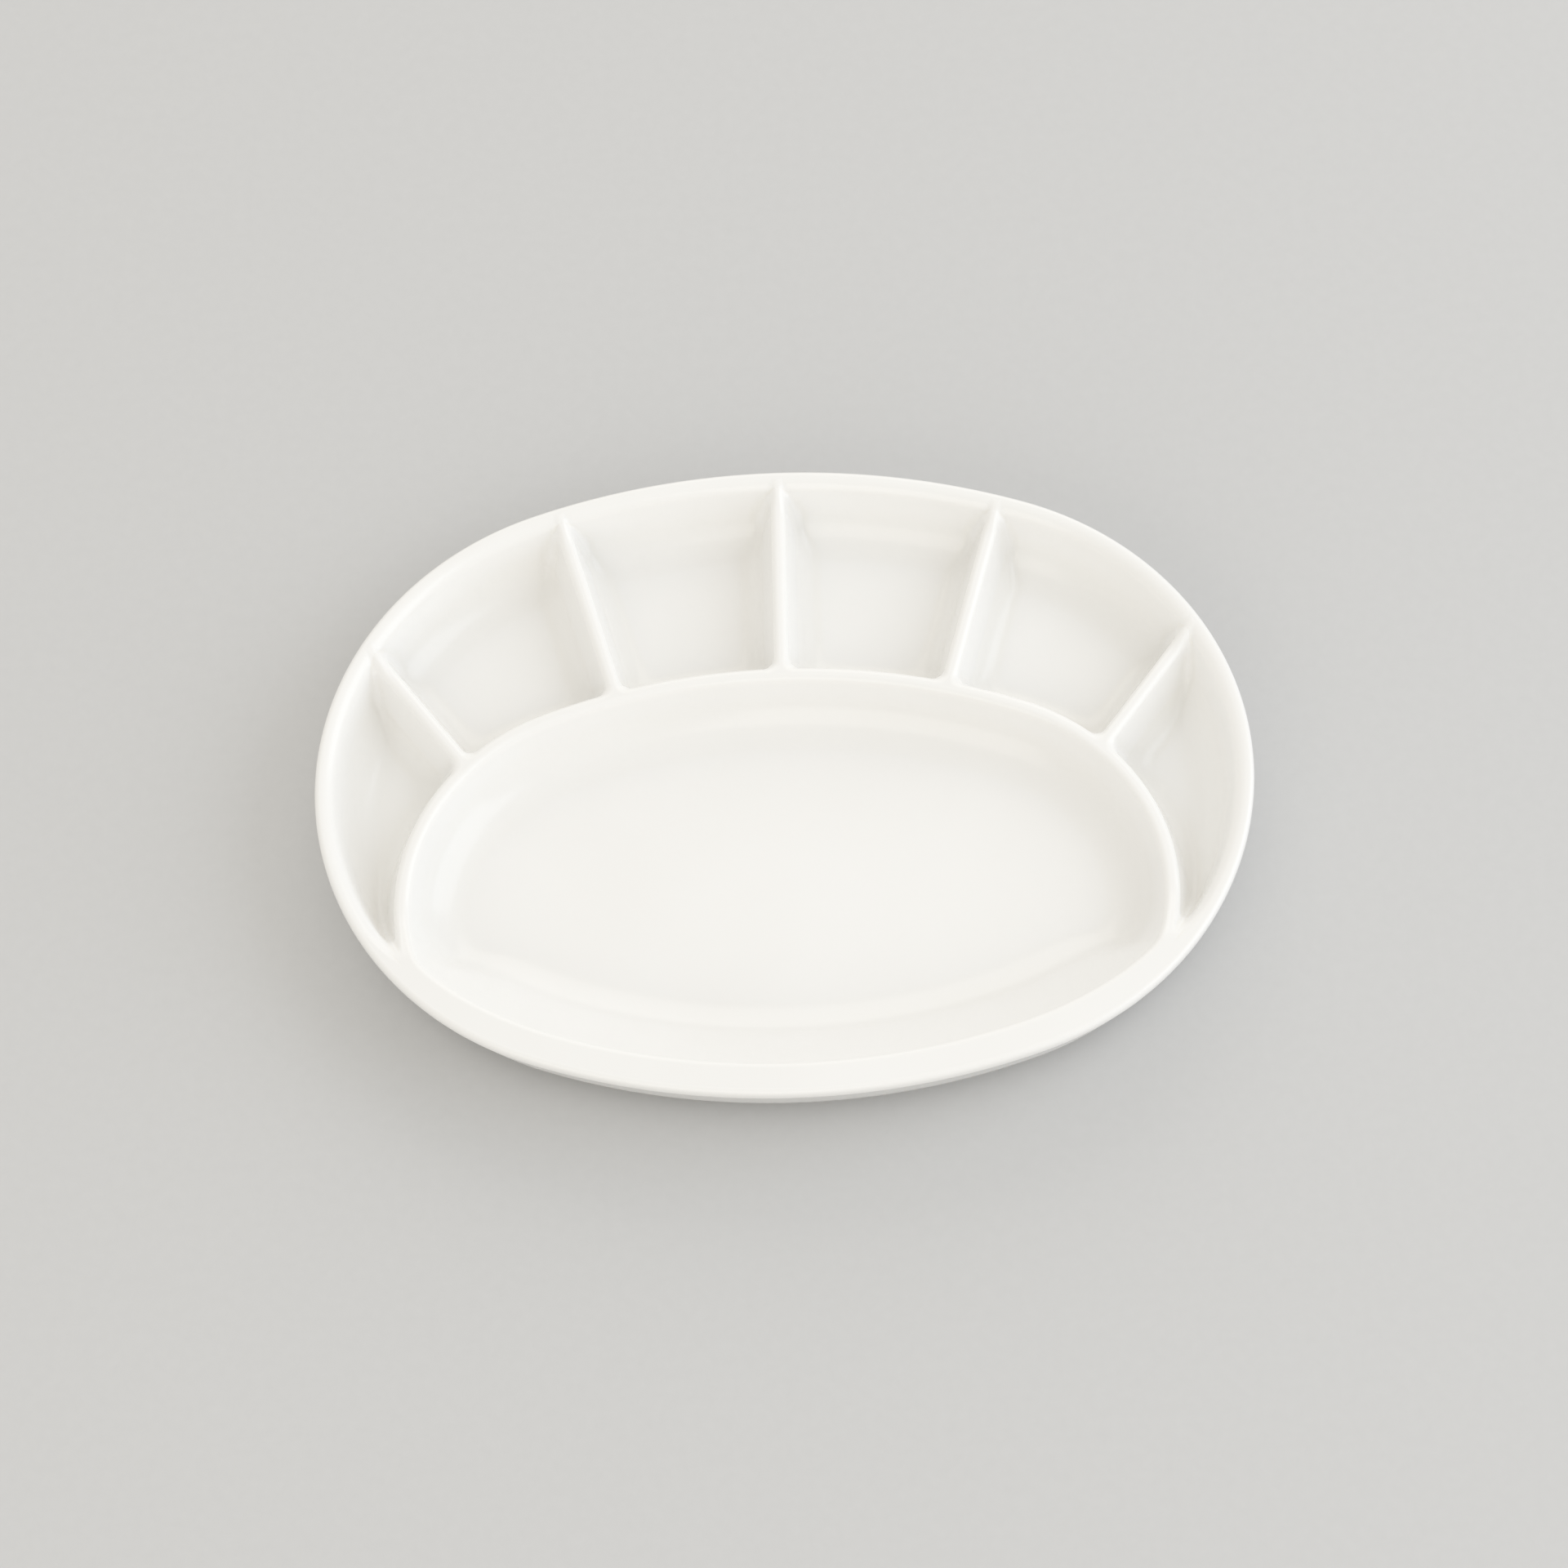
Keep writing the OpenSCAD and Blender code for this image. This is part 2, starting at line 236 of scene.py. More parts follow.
def wall_height(x, top, edge, lean, cove):
    """Height of a wall's face at plan distances from the start of its rounded top."""
    end = toe(top, edge, lean, cove)
    z = top - edge * (1 - np.sin(lean)) - (x - edge * np.cos(lean)) / np.tan(lean)
    round_z = top - edge + np.sqrt(np.maximum(edge ** 2 - np.maximum(x, 0) ** 2, 0))
    cove_z = floor_z + cove - np.sqrt(np.maximum(cove ** 2 - np.maximum(end - x, 0) ** 2, 0))
    z = np.where(x < edge * np.cos(lean), round_z, z)
    return np.where(x > end - cove * np.cos(lean), cove_z, z)


def wall_steps(top, edge, lean, cove):
    """Plan distances that follow such a wall evenly, from its rounded top to just past its toe."""
    end = toe(top, edge, lean, cove)
    turn = np.linspace(0, math.pi / 2 - lean, round_steps)
    bow = np.linspace(lean, math.pi / 2, cove_steps)
    face = np.linspace(edge * np.cos(lean), end - cove * np.cos(lean), face_steps)[1:-1]
    return np.concatenate([edge * np.sin(turn), face, end - cove * np.cos(bow), [end + past_toe]])


def soft_min(a, b, k):
    """The lesser of two distances, rounded off where they differ by less than k."""
    h = np.maximum(k - np.abs(a - b), 0) / k
    return np.minimum(a, b) - h * h * k / 4


def face_start(edge, lean):
    """Plan distance at which a wall's leaning face, drawn on up, would reach its top's height."""
    return edge * math.cos(lean) - edge * (1 - math.sin(lean)) * math.tan(lean)


wall_to_crest = (rim_outer_round + rim_flat + face_start(rim_inner_round, wall_lean)
                 + (rim_z - crest_z) * math.tan(wall_lean) - face_start(crest_round, wall_lean))


def pressed_height(x, y, top, lift):
    """Height of the pressed face from the crest line, whose height is top, to the rim.

    The lift is how far the trough is kept shallow near a tip of the curved divider.
    """
    inset = rim_oval.inside(x, y)
    from_arch = -bend_oval.inside(x, y) - crest_half_flat
    from_divider = np.full_like(x, 1.0)
    for root, way in zip(roots, ways):
        for side in (-1, 1):
            from_x, from_y = side * x - root[0], y - root[1]
            along = from_x * way[0] + from_y * way[1]
            beside = np.abs(from_y * way[0] - from_x * way[1]) - crest_half_flat
            nearest = np.minimum(from_divider, beside)
            from_divider = np.where(along > -root_reach, nearest, from_divider)
    from_wall = inset - wall_to_crest
    depth = np.minimum(np.minimum(from_arch, from_wall), from_divider)
    k = crest_corner + (cove_corner - crest_corner) * smooth(depth / corner_depth)
    from_crest = soft_min(soft_min(from_arch, from_divider, k), from_wall, k) - lift
    climb = (rim_z - top) * climb_share * smooth(1 - (inset - climb_end) / climb_length) * smooth(
        1 - from_divider / climb_width)
    rooms = wall_height(from_crest, top + climb, crest_round, room_lean, room_cove)
    wall = wall_height(inset - rim_outer_round - rim_flat, rim_z, rim_inner_round,
                       wall_lean, wall_cove)
    k = low_join + (high_join - low_join) * smooth((np.maximum(rooms, wall) - join_z) / join_rise)
    z = np.minimum(-soft_min(-rooms, -wall, k), rim_z)
    edge = rim_z - rim_outer_round + np.sqrt(np.maximum(
        rim_outer_round ** 2 - np.maximum(rim_outer_round - inset, 0) ** 2, 0))
    return np.minimum(z, edge)


# ---- Sheet over the rooms ----
# The sheet is laid in strips that run from the crest line out to the rim. Where a divider stands,
# strips lie along both its faces at the steps of its section, so that its edges come out clean.
fine = crest_half_flat + wall_steps(crest_z, crest_round, room_lean, room_cove)
across = np.concatenate([-fine[::-1], [0], fine])
front_spacing, spacing, tip_stretch = 0.0024, 0.0010, 0.02
# Past a tip the crest goes on to the rim's height over this run, and the trough behind it ends.
crest_rise = 0.022
front_lift, tip_lift, lift_run = 0.006, 0.001, 0.014
tip_blend = 0.015
row_room = 1.12
hair = 1e-6
line_points = 600
search = 320


def run_where(ring, spot, way, offsets):
    """Runs at which a ring is offset by these distances, to its left, from a divider's line."""
    near = np.hypot(ring.line.real - spot[0], ring.line.imag - spot[1])
    near[:Ring.count] = 1
    near[Ring.count * 8 // 5:] = 1
    k = near.argmin()
    some = slice(k - search, k + search)
    left = -(ring.line.real[some] - spot[0]) * way[1] + (ring.line.imag[some] - spot[1]) * way[0]
    return np.interp(offsets, left, ring.run[some])


def between(start, stop, gap):
    """Even runs from start up to stop, which isn't among them."""
    count = max(2, round((stop - start) / gap))
    return np.linspace(start, stop, count + 1)[:-1]


crest_run = [between(0, tip_run - tip_stretch, front_spacing),
             between(tip_run - tip_stretch, tip_run, spacing)]
rim_run = [np.interp(part, probe, square_run) for part in crest_run]
tip_column = sum(map(len, crest_run))
reached, skew = tip_run, 0.0
zone_columns = []
for root, head, way in zip(roots, heads, ways):
    crest_zone = run_where(crest_ring, root, way, across)
    rim_zone = run_where(rim_ring, head, way, across)
    part = between(reached, crest_zone[0], spacing)
    skew_after = rim_zone[0] - np.interp(crest_zone[0], probe, square_run)
    blend = (part - reached) / (crest_zone[0] - reached)
    crest_run += [part, crest_zone[:-1]]
    rim_run += [np.interp(part, probe, square_run) + skew + (skew_after - skew) * blend,
                rim_zone[:-1]]
    zone_columns.append(sum(map(len, crest_run[:-1])))
    reached = crest_zone[-1]
    skew = rim_zone[-1] - np.interp(reached, probe, square_run)
half_columns = zone_columns[2] + len(fine)
crest_run = np.concatenate(crest_run)[:half_columns + 1]
rim_run = np.concatenate(rim_run)[:half_columns + 1]
crest_run[-1], rim_run[-1] = crest_ring.length / 2, rim_ring.length / 2
crest_run = np.concatenate([crest_run, crest_ring.length - crest_run[-2:0:-1]])
rim_run = np.concatenate([rim_run, rim_ring.length - rim_run[-2:0:-1]])
columns = len(crest_run)
left_tip = columns - tip_column
inner = crest_ring.at(crest_run)
outer = rim_ring.at(rim_run)

past_tip = np.minimum(crest_run, crest_ring.length - crest_run) - tip_run
crest_top = crest_z + (rim_z - crest_z) * smooth(1 - past_tip / crest_rise)
trough_lift = np.where(past_tip < 0, front_lift, tip_lift * smooth(1 - past_tip / lift_run))

wall_rows = np.concatenate([
    rim_outer_round * (1 - np.cos(np.radians(np.arange(0, 91, 15)))),
    rim_outer_round + rim_flat + wall_steps(rim_z, rim_inner_round, wall_lean, wall_cove)])
arch_keep = crest_half_flat + crest_round * math.cos(room_lean) + hair
wall_keep = rim_outer_round + rim_flat + hair
wanted = row_room * (fine[-1] + wall_rows[-1] - arch_keep - wall_keep)
floor_shares = np.array([0.2, 0.4, 0.6, 0.8])
spread = np.linspace(0, 1, line_points)
rows_out = []
for k in range(columns):
    line = inner[k] + spread[:, None] * (outer[k] - inner[k])
    inset = rim_oval.inside(*line.T)
    from_arch = -bend_oval.inside(*line.T)
    by_arch = smooth(past_tip[k] / tip_blend)
    from_crest = np.maximum.accumulate((1 - by_arch) * (inset[0] - inset) + by_arch * from_arch)
    squeeze = min(1.0, (inset[0] - arch_keep - wall_keep) / wanted)
    a = np.where(fine > arch_keep, arch_keep + (fine - arch_keep) * squeeze, fine)
    b = np.where(wall_rows > wall_keep, wall_keep + (wall_rows - wall_keep) * squeeze, wall_rows)
    t_arch = np.interp(a, from_crest, spread)
    t_wall = np.interp(b[::-1], inset[::-1], spread[::-1])
    t_floor = t_arch[-1] + (t_wall[0] - t_arch[-1]) * floor_shares
    rows_out.append(np.concatenate([[0], t_arch, t_floor, t_wall]))
plan = inner[:, None] + np.array(rows_out)[..., None] * (outer - inner)[:, None]
height = pressed_height(plan[..., 0], plan[..., 1], crest_top[:, None], trough_lift[:, None])
sheet_rooms = np.dstack([plan, height])


# ---- Sheet over the outer wall ----
# Outside, the wall leans in from the rim's lip to a soft turn under the dish, where the clay was
# sponged smooth. The foot ring is joined on below it.
lip_z = 0.027
strip_z = 0.025
base_z = 0.0045
outer_lean = math.radians(21)
base_turn = 0.004
deepest = 0.05

turn_toe = ((lip_z - base_z) * math.tan(outer_lean)
            + base_turn * math.tan((math.pi / 2 - outer_lean) / 2))
turn = np.linspace(outer_lean, math.pi / 2, 9)
lean_z = np.array([lip_z, strip_z, 0.021, 0.016, 0.011])
wall_x = np.concatenate([(lip_z - lean_z) * math.tan(outer_lean),
                         turn_toe - base_turn * np.cos(turn)])
wall_z = np.concatenate([lean_z, base_z + base_turn - base_turn * np.sin(turn)])
depth = np.linspace(0, deepest, 500)
inwards = (inner - outer) / np.linalg.norm(inner - outer, axis=1, keepdims=True)
plan = []
for k in range(columns):
    inset = rim_oval.inside(*(outer[k] + depth[:, None] * inwards[k]).T)
    plan.append(outer[k] + np.interp(wall_x, inset, depth)[:, None] * inwards[k])
plan = np.array(plan)
sheet_outside = np.dstack([plan, np.broadcast_to(wall_z, plan.shape[:2])])


# ---- Sheet over the well's sides ----
# The well is the large hollow in front. Its side under the curved divider is steep with a wide
# cove, and past the tips it lies back into the long gentle slope behind the front strip.
side_lean, side_cove = math.radians(20), 0.014
slope_lean, slope_cove = math.radians(48), 0.020
slope_round = 0.0026
turn_before, turn_run = 0.026, 0.058
toe_softness = 0.012
past_cove = 0.0015


def well_section(past):
    """Edge radius, lean and cove of the well's side, by the run past the tip."""
    front = 1 - smooth((past + turn_before) / turn_run)
    return (crest_round + (slope_round - crest_round) * front,
            side_lean + (slope_lean - side_lean) * front,
            side_cove + (slope_cove - side_cove) * front)


once_round = slice(Ring.count, 2 * Ring.count)
ring_run = crest_ring.run[once_round]
ring_past = np.minimum(ring_run, crest_ring.length - ring_run) - tip_run
ring_top = crest_z + (rim_z - crest_z) * smooth(1 - ring_past / crest_rise)
square_in = 1j * crest_ring.slope[once_round]
square_in /= np.abs(square_in)
toe_line = crest_ring.line[once_round] + square_in * toe(ring_top, *well_section(ring_past))
toe_line = crest_ring.softened(toe_line, toe_softness)
toes = np.column_stack([np.interp(crest_run, ring_run, part, period=crest_ring.length)
                        for part in (toe_line.real, toe_line.imag)])

edge, lean, cove = well_section(past_tip)
end = toe(crest_top, edge, lean, cove)
turn = np.linspace(0, 1, 13)[:, None] * (math.pi / 2 - lean)
bow = lean + np.linspace(0, 1, 16)[:, None] * (math.pi / 2 - lean)
edge_x, edge_z = edge * np.sin(turn), crest_top - edge + edge * np.cos(turn)
cove_x, cove_z = end - cove * np.cos(bow), floor_z + cove - cove * np.sin(bow)
face = np.array([0.25, 0.5, 0.75])[:, None]
x_rows = np.concatenate([edge_x, edge_x[-1] + face * (cove_x[0] - edge_x[-1]), cove_x,
                         [end + past_cove]])
z_rows = np.concatenate([edge_z, edge_z[-1] + face * (cove_z[0] - edge_z[-1]), cove_z,
                         [np.full(columns, floor_z)]])
x_rows = (crest_half_flat + x_rows * (end - crest_half_flat) / end) / end
plan = inner[:, None] + x_rows.T[:, ::-1, None] * (toes - inner)[:, None]
sheet_well = np.dstack([plan, z_rows.T[:, ::-1]])


# ---- Whole sheet ----
# The clay is one skin with one glaze over it. Its slope and hollowness are read off the whole
# sheet, so that light runs on over the joins between the regions that are cut from it below.
sheet = np.concatenate([sheet_well, sheet_rooms, sheet_outside], axis=1)
crest_row = sheet_well.shape[1]
arch_toe_row = crest_row + len(fine)
wall_toe_row = arch_toe_row + len(floor_shares) + 1
strip_row = crest_row + sheet_rooms.shape[1] + 1
last_row = sheet.shape[1] - 1
shortest_step = 1e-5
full_pool_radius = 0.006


def steps(before, after):
    """Steps to each point from the one before it and from it to the one after, with lengths."""
    a, b = sheet - before, after - sheet
    return a, b, *(np.maximum(np.linalg.norm(v, axis=2, keepdims=True), shortest_step)
                   for v in (a, b))


def tangent(before, after):
    """The sheet's direction at each point, from unevenly spaced neighbours."""
    a, b, la, lb = steps(before, after)
    return a * lb / la + b * la / lb


def bending(before, after):
    """How sharply the sheet curves towards its face at each point, per metre."""
    a, b, la, lb = steps(before, after)
    return ((b / lb - a / la) * sheet_normal).sum(2) * 2 / (la + lb)[..., 0]


padded = np.pad(sheet, ((0, 0), (1, 1), (0, 0)), mode="edge")
down_row = padded[:, :-2], padded[:, 2:]
round_dish = np.roll(sheet, 1, axis=0), np.roll(sheet, -1, axis=0)
sheet_normal = np.cross(tangent(*down_row), tangent(*round_dish))
sheet_normal /= np.linalg.norm(sheet_normal, axis=2, keepdims=True)
sheet_normal[:, 0] = (0, 0, 1)
sheet_normal[:, -1] = (0, 0, -1)
# Hollowness sets the glaze's tint: creamier and darker in the coves, partly pooled glaze and partly
# painted shade.
hollow = bending(*down_row) + bending(*round_dish)
hollow[:, [0, -1]] = 0
for softening in range(2):
    hollow[:, 1:-1] = (hollow[:, :-2] + 2 * hollow[:, 1:-1] + hollow[:, 2:]) / 4
hollow = np.clip(hollow * full_pool_radius, -1, 1)


# ---- Regions of the sheet ----
# A potter would name these regions of the one body. Each is cut from the sheet, and its own flat
# faces close it below and at its sides, just inside the face of the outer wall.
wall_skin = 0.0004
under_z = np.where(wall_z > base_z + hair, wall_z + wall_skin, base_z)


def pressed(name, first, last, parts, material):
    """Cuts the region between two strips from the sheet and closes it with flat faces.

    Parts are spans of rows, or a row and the height at which it is stood again, inside the outer
    wall, or a row and None: the outer wall's foot, if that wall keeps the row off the base.
    """
    picked = np.arange(first, last + 1) % columns
    points, normals, pooling_and_shade, on_sheet = [], [], [], []
    for row, upto in parts:
        if isinstance(upto, int):
            rows = slice(row, upto + 1)
            points.append(sheet[picked][:, rows])
            normals.append(sheet_normal[picked][:, rows])
            pooling_and_shade.append(hollow[picked][:, rows])
            on_sheet += [True] * (upto - row) + [False]
        else:
            stood = sheet[picked][:, row:row + 1].copy()
            inset = rim_oval.inside(stood[..., 0], stood[..., 1])
            stood[..., 2] = np.maximum(upto or base_z, np.interp(inset, wall_x, under_z))
            if upto is None:
                stood = np.where(stood[..., 2:] > base_z, sheet[picked][:, -1:], stood)
            points.append(stood)
            normals.append(np.zeros_like(stood))
            pooling_and_shade.append(np.zeros(stood.shape[:2]))
            on_sheet += [False]
    points.append(points[0][:, :1])
    normals.append(normals[0][:, :1])
    pooling_and_shade.append(pooling_and_shade[0][:, :1])
    points, normals, pooling_and_shade = (np.concatenate(v, axis=1) for v in (points, normals, pooling_and_shade))
    bpy.ops.object.select_all(action="DESELECT")
    bpy.ops.mesh.primitive_grid_add(x_subdivisions=points.shape[1] - 1,
                                    y_subdivisions=points.shape[0] - 1, size=1)
    piece = bpy.context.object
    piece.name = piece.data.name = name
    mesh = piece.data
    mesh.vertices.foreach_set("co", points.reshape(-1).astype(np.float32))
    # The hollowness is kept for the glaze's tint, which is partly painted shade in the coves.
    mesh.attributes.new("pooling_and_shade", "FLOAT", "POINT").data.foreach_set(
        "value", pooling_and_shade.reshape(-1).astype(np.float32))
    mesh.attributes.new("pressed_normal", "FLOAT_VECTOR", "POINT").data.foreach_set(
        "vector", normals.reshape(-1).astype(np.float32))
    mesh.attributes.new("pressed", "BOOLEAN", "FACE").data.foreach_set(
        "value", np.tile(np.array(on_sheet), points.shape[0] - 1))
    bpy.ops.object.mode_set(mode="EDIT")
    bpy.ops.mesh.select_all(action="SELECT")
    bpy.ops.mesh.remove_doubles(threshold=1e-7)
    bpy.ops.mesh.select_all(action="DESELECT")
    bpy.ops.mesh.select_non_manifold()
    bpy.ops.mesh.fill_holes(sides=0)
    bpy.ops.mesh.select_all(action="SELECT")
    bpy.ops.mesh.normals_make_consistent(inside=False)
    bpy.ops.object.mode_set(mode="OBJECT")
    mesh.shade_smooth()
    vertex = np.zeros(len(mesh.loops), np.int32)
    mesh.loops.foreach_get("vertex_index", vertex)
    kept = np.zeros(len(mesh.vertices) * 3, np.float32)
    mesh.attributes["pressed_normal"].data.foreach_get("vector", kept)
    face_of = np.repeat(np.arange(len(mesh.polygons)), [len(p.vertices) for p in mesh.polygons])
    own = np.zeros(len(mesh.polygons) * 3, np.float32)
    mesh.polygons.foreach_get("normal", own)
    smooth_face = np.zeros(len(mesh.polygons), bool)
    mesh.attributes["pressed"].data.foreach_get("value", smooth_face)
    mesh.normals_split_custom_set(np.where(
        smooth_face[face_of][:, None], kept.reshape(-1, 3)[vertex], own.reshape(-1, 3)[face_of]))
    mesh.attributes.remove(mesh.attributes["pressed_normal"])
    mesh.attributes.remove(mesh.attributes["pressed"])
    mesh.materials.append(material)
    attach(piece, "root")
    return piece


# ---- Glaze ----
# A clear glossy glaze over white porcelain. It is a trace creamier and darker in the coves, partly
# where it ran together and partly as painted shade, and thinner over the edges, and its surface has
# a slow wave and a faint orange-peel grain.
class Material:
    """A material whose nodes are added and linked by short calls."""

    def __init__(self, name, roughness):
        self.data = bpy.data.materials.new(name)
        self.data.use_nodes = True
        self.nodes, self.links = self.data.node_tree.nodes, self.data.node_tree.links
        self.shader = self.nodes["Principled BSDF"].inputs
        self.shader["Roughness"].default_value = roughness
        self.place = self.nodes.new("ShaderNodeTexCoord").outputs["Object"]

    def node(self, kind, **values):
        """Adds a node and sets its inputs by name."""
        made = self.nodes.new(kind)
        for name, value in values.items():
            made.inputs[name].default_value = value
        return made

    def noise(self, scale, detail, roughness):
        """A noise from 0 to 1 over the piece's own coordinates."""
        made = self.node("ShaderNodeTexNoise", Scale=scale, Detail=detail, Roughness=roughness)
        self.links.new(self.place, made.inputs["Vector"])
        return made.outputs["Fac"]

    def tones(self, source, low, high, start=0.0, stop=1.0):
        """Goes from one colour to another as the source goes from start to stop."""
        made = self.nodes.new("ShaderNodeValToRGB")
        ends = made.color_ramp.elements
        ends[0].position, ends[1].position = start, stop
        ends[0].color, ends[1].color = (*low, 1), (*high, 1)
        self.links.new(source, made.inputs["Fac"])
        return made.outputs["Color"]

    def share(self, source, start, stop, most):
        """Goes from 0 to most as the source goes from start to stop."""
        made = self.node("ShaderNodeMapRange", **{"From Min": start, "From Max": stop,
                                                  "To Min": 0.0, "To Max": most})
        self.links.new(source, made.inputs["Value"])
        return made.outputs["Result"]

    def mixed(self, share, under, colour):
        """Lays this share of a colour over what is under it."""
        made = self.nodes.new("ShaderNodeMix")
        made.data_type = "RGBA"
        made.inputs["B"].default_value = (*colour, 1)
        self.links.new(share, made.inputs["Factor"])
        self.links.new(under, made.inputs["A"])
        return made.outputs["Result"]

    def bump(self, source, height, under=None):
        """Normals of a relief this high, over another one's if that is given."""
        made = self.node("ShaderNodeBump", Strength=1.0, Distance=height)
        self.links.new(source, made.inputs["Height"])
        if under:
            self.links.new(under, made.inputs["Normal"])
        return made.outputs["Normal"]


coat = Material("white glaze", roughness=0.2)
coat.shader["IOR"].default_value = 1.5
pool_and_shade = coat.nodes.new("ShaderNodeAttribute")
pool_and_shade.attribute_name = "pooling_and_shade"
pool_and_shade = pool_and_shade.outputs["Fac"]
white = coat.tones(coat.noise(14.0, 3.0, 0.55), (0.904, 0.898, 0.880), (0.918, 0.914, 0.900),
                   start=0.36, stop=0.66)
# Painted shade: the coves are tinted creamier and darker, partly for glaze that ran together there
# and partly to stand in for the shade in the corners.
cove_glaze_and_shade = coat.mixed(coat.share(pool_and_shade, 0.1, 1.0, 0.45), white, (0.895, 0.878, 0.832))
thinned = coat.mixed(coat.share(pool_and_shade, -0.3, -1.0, 0.5), cove_glaze_and_shade, (0.930, 0.924, 0.904))
coat.links.new(thinned, coat.shader["Base Color"])
wave = coat.bump(coat.noise(22.0, 1.0, 0.4), 0.00035)
peel = coat.bump(coat.noise(420.0, 2.0, 0.5), 0.000012, wave)
coat.links.new(peel, coat.shader["Normal"])
glaze = coat.data

# ---- Outer wall ----
# The wall that closes the six rooms towards the back and the two ends, with the rounded rim on
# top. It is drawn up from the same sheet as the floors and turned over the edge of the mould.
wall = pressed("back_wall", tip_column, left_tip,
               [(wall_toe_row, last_row), (wall_toe_row, base_z)], glaze)
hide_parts("back_wall_left", "back_wall_middle", "back_wall_right")

# ---- Curved divider ----
# The low curved wall between the well and the rooms, pinched up from the same clay over a groove
# in the mould. It is a little lower than the rim and rises to it at both tips.
curved = pressed("curved_divider", tip_column, left_tip,
                 [(0, arch_toe_row), (arch_toe_row, base_z), (arch_toe_row, None), (0, base_z)],
                 glaze)
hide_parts("curved_divider_left", "curved_divider_middle", "curved_divider_right")

# ---- Straight dividers and the rooms' floors ----
# Five straight walls run from the curved divider to the outer wall, and six flat floors lie
# between them. All are one clay, and coves join each floor to the walls round it.
zone_width = 2 * len(fine)
starts = zone_columns + [columns - start - zone_width for start in zone_columns[1::-1]]
room = [(arch_toe_row, wall_toe_row), (wall_toe_row, base_z), (wall_toe_row, None),
        (arch_toe_row, base_z)]
reached = tip_column
for number, start in zip(range(6, 0, -1), starts + [left_tip]):
    floor = pressed("compartment_%d" % number, reached, start, room, glaze)
    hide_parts("compartment_%d_floor" % number)
    if start < left_tip:
        reached = start + zone_width
        divider = pressed("straight_divider_%d" % (number - 1), start, reached, room, glaze)
        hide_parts("divider_%d" % (number - 1))

# ---- Front strip ----
# The flat strip along the front of the rim, between the well and the outer edge, about a finger
# wide. The clay is pressed level there, and its two edges are sponged round.
strip = pressed("front_rim", left_tip, columns + tip_column,
                [(crest_row, strip_row), (crest_row, strip_z)], glaze)
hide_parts("front_rim_left", "front_rim_middle", "front_rim_right")

# ---- Front slope ----
# The long slope from the strip down into the well, with the wall's outside below the strip. It is
# the thickest clay of the dish, and it turns up into the curved divider at both tips.
slope = pressed("well_slope", left_tip, columns + tip_column,
                [(0, crest_row), (crest_row, strip_z), (strip_row, last_row), (0, base_z)], glaze)
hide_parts("well_slope_left", "well_slope_middle", "well_slope_right",
            "well_corner_left", "well_corner_right")

# ---- Well floor ----
# The flat oval bottom of the well. It is a plain slab of the same clay, level with the floors of
# the rooms, and the coves of the slope and the curved divider run out on it.
bpy.ops.object.select_all(action="DESELECT")
bpy.ops.mesh.primitive_circle_add(vertices=columns, radius=half_width, fill_type="NGON")
well = bpy.context.object
well.name = well.data.name = "well_bottom"
well.data.vertices.foreach_set("co", sheet[:, 0].reshape(-1).astype(np.float32))
bpy.ops.object.mode_set(mode="EDIT")
bpy.ops.mesh.select_all(action="SELECT")
bpy.ops.mesh.extrude_region_move(TRANSFORM_OT_translate={"value": (0, 0, base_z - floor_z)})
bpy.ops.mesh.select_all(action="SELECT")
bpy.ops.mesh.normals_make_consistent(inside=False)
bpy.ops.object.mode_set(mode="OBJECT")
well.data.materials.append(glaze)
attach(well, "root")
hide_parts("well_floor")

# ---- Foot ring ----
# The ring that the dish stands on, rolled from the same clay and luted on below. Its glaze is
# wiped off before firing, so it is dry, sandy and a little darker than the glazed white.
body = Material("bare clay", roughness=0.86)
body.shader["Specular IOR Level"].default_value = 0.25
patches = body.tones(body.noise(70.0, 3.0, 0.6), (0.60, 0.55, 0.47), (0.72, 0.68, 0.60),
                     start=0.35, stop=0.7)
cells = body.node("ShaderNodeTexVoronoi", Scale=260.0)
body.links.new(body.place, cells.inputs["Vector"])
iron = body.share(cells.outputs["Distance"], 0.10, 0.04, 0.7)
body.links.new(body.mixed(iron, patches, (0.30, 0.22, 0.15)), body.shader["Base Color"])
body.links.new(body.bump(body.noise(900.0, 4.0, 0.65), 0.00015), body.shader["Normal"])
clay = body.data
for name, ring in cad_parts.items():
    if name.startswith("foot_ring"):
        if not ring.data.materials:
            ring.data.materials.append(clay)
        for k in range(len(ring.data.materials)):
            ring.data.materials[k] = clay

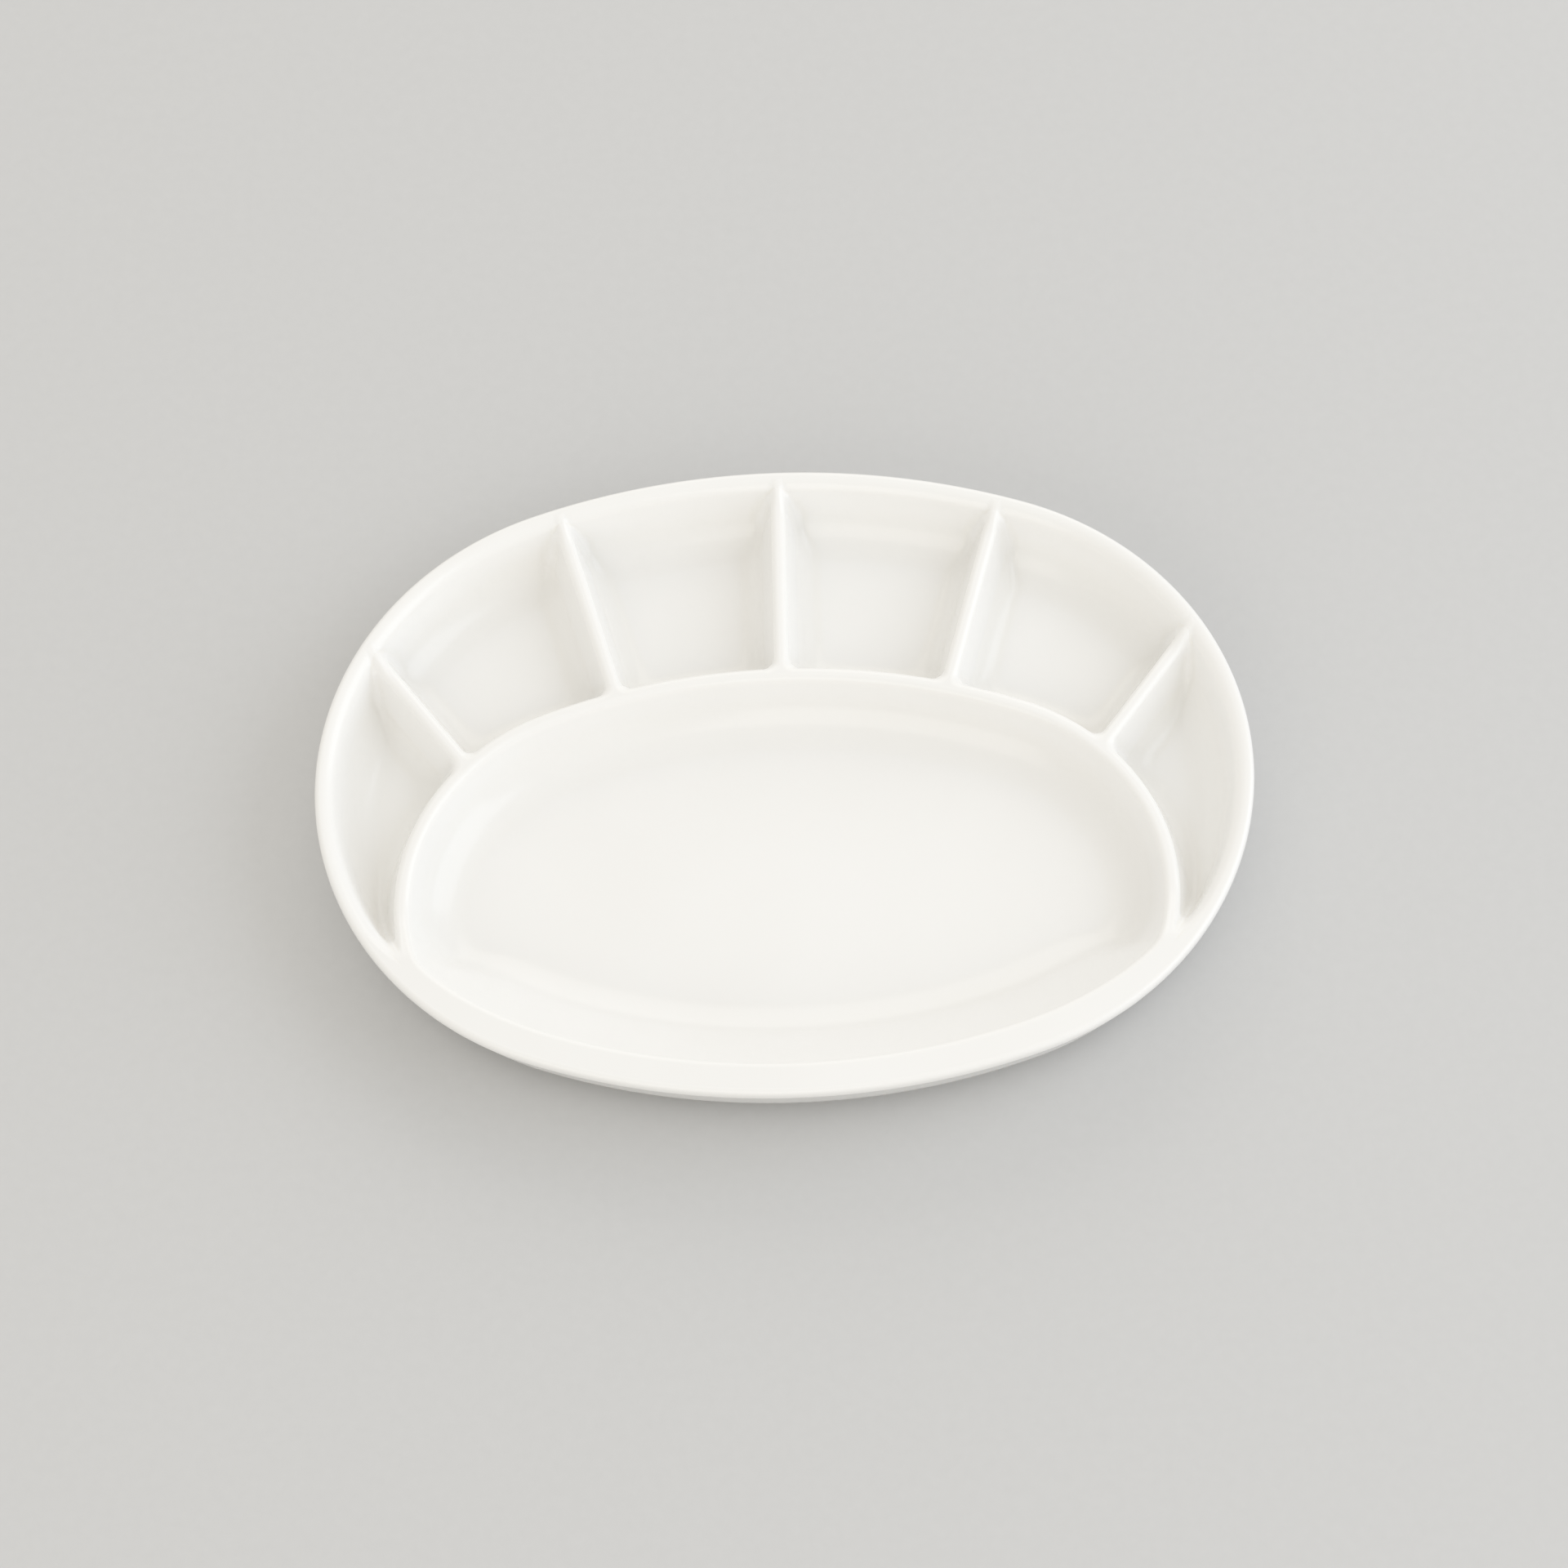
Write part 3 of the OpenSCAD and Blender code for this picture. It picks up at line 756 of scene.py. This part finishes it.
# ---- Table top ----
# A plain pale table top of matt board under the dish, which keeps its shadow. It isn't part of
# the object.
bpy.ops.object.select_all(action="DESELECT")
bpy.ops.mesh.primitive_plane_add(size=6)
table = bpy.context.object
table.name = "table_top"
board = Material("pale board", roughness=0.9)
fibres = board.tones(board.noise(260.0, 3.0, 0.6), (0.615, 0.615, 0.612), (0.645, 0.645, 0.642))
board.links.new(fibres, board.shader["Base Color"])
table.data.materials.append(board.data)
table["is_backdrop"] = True

# ---- Studio light ----
# The dish stands in a bright white surround with a warm cast. One large soft lamp stands low at
# its right and shades the walls, and two weak panels at the front and the back fill them.
world = bpy.data.worlds.new("room")
world.use_nodes = True
surround = world.node_tree.nodes["Background"].inputs
surround["Color"].default_value = (1, 0.975, 0.925, 1)
surround["Strength"].default_value = 0.76
bpy.context.scene.world = world

lamps = {"window": ((1.9, 0.0, 1.1), 2.2, 18, (0.80, 0.88, 1.0)),
         "front panel": ((-0.6, -1.8, 1.1), 1.8, 9, (1, 0.98, 0.95)),
         "back panel": ((0.0, 1.9, 1.1), 1.8, 8, (1, 0.98, 0.95))}
for name, (spot, size, energy, colour) in lamps.items():
    light = bpy.data.lights.new(name, "AREA")
    light.shape = "SQUARE"
    light.size, light.energy, light.color = size, energy, colour
    lamp = bpy.data.objects.new(name, light)
    lamp.location = spot
    lamp.rotation_euler = (-Vector(spot)).to_track_quat("-Z", "Y").to_euler()
    bpy.context.scene.collection.objects.link(lamp)

# ---- Camera ----
# It looks down on the dish from the front, held a little askew as in the photograph.
elevation, azimuth, roll = (math.radians(v) for v in (62, 2.1, -3.65))
distance, target = 1.766, Vector((-0.0002, 0.0044, 0.015))
lens_mm, sensor_mm = 135, 36

back = Vector((math.sin(azimuth) * math.cos(elevation), -math.cos(azimuth) * math.cos(elevation),
               math.sin(elevation)))
right = Vector((math.cos(azimuth), math.sin(azimuth), 0))
up = back.cross(right)
right, up = (right * math.cos(roll) + up * math.sin(roll),
             up * math.cos(roll) - right * math.sin(roll))
lens = bpy.data.cameras.new("camera")
lens.lens, lens.sensor_width = lens_mm, sensor_mm
camera = bpy.data.objects.new("camera", lens)
camera.matrix_world = (Matrix.Translation(target + back * distance)
                       @ Matrix((right, up, back)).transposed().to_4x4())
bpy.context.scene.collection.objects.link(camera)
bpy.context.scene.camera = camera
bpy.context.scene.view_settings.view_transform = "Standard"

# ---- Sizes ----
# The measured box of what is shown.
low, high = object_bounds()
